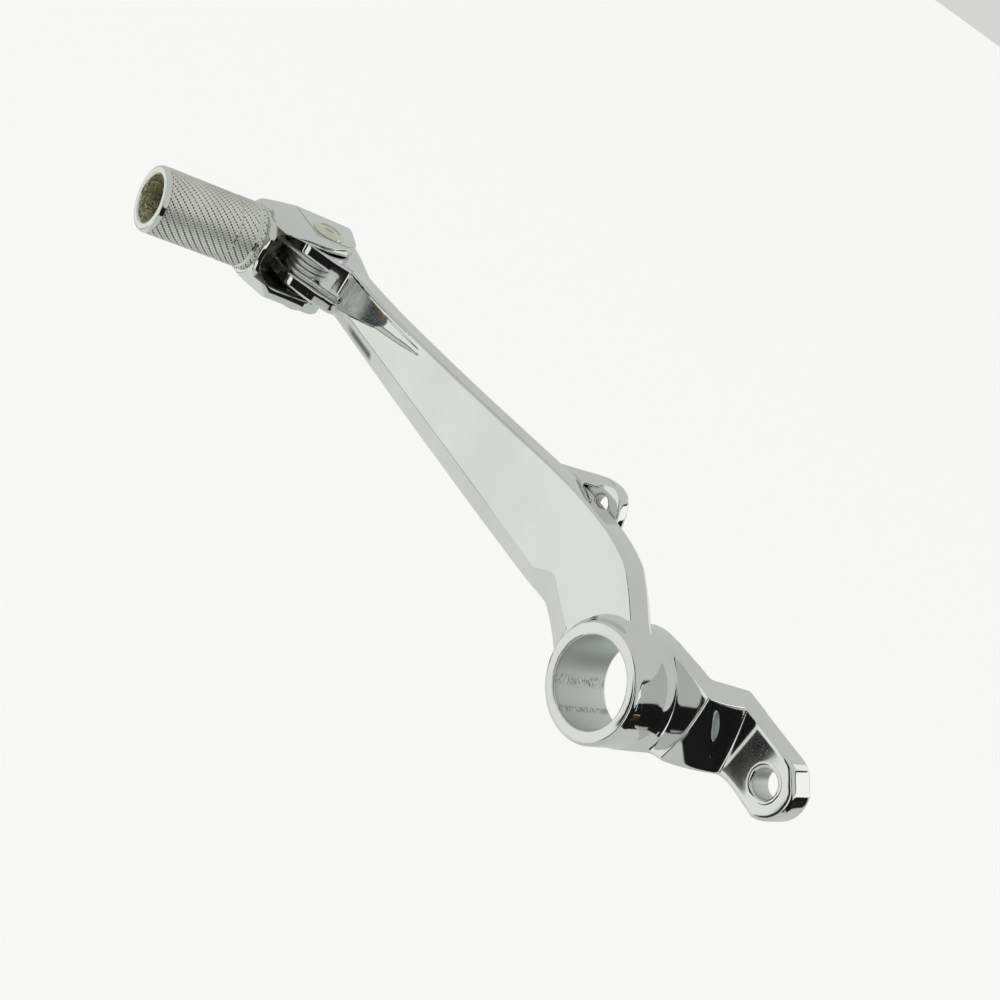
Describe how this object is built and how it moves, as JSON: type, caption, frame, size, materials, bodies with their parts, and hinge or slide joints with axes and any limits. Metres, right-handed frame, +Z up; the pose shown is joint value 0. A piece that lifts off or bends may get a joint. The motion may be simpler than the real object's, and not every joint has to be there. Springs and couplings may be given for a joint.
{
  "type": "rear brake pedal",
  "caption": "Cast motorbike rear brake pedal: cranked arm on a bored pivot hub, rod lug and spring tab, with a folding, spring-returned knurled toe peg.",
  "frame": {"origin": "on the pivot axis, in the outboard end face of the hub", "axes": "+X to the rear, +Y inboard along the pivot axis, +Z up with the arm lying level and forward along -X"},
  "size_m": [0.2371, 0.0796, 0.0462],
  "materials": {
    "arm_plating": "bright plating over a polished casting",
    "toe_plating": "bright plating, knurled grip",
    "pin_plating": "plated steel with a warm tint",
    "spring_wire": "bright drawn wire"
  },
  "bodies": {
    "arm": {"pedal_arm": "arm_plating", "return_spring": "spring_wire"},
    "toe": {"toe_piece": "toe_plating", "pivot_pin": "pin_plating"}
  },
  "joints": [
    {"name": "toe_fold", "type": "hinge", "parent": "arm", "child": "toe", "pos_m": [-0.1666, 0, 0.006], "axis": [0, 0, 1], "range_deg": [0, 75], "stiffness_Nm_per_rad": 0.25, "springref_deg": -28.65, "deforming": ["return_spring"]}
  ]
}
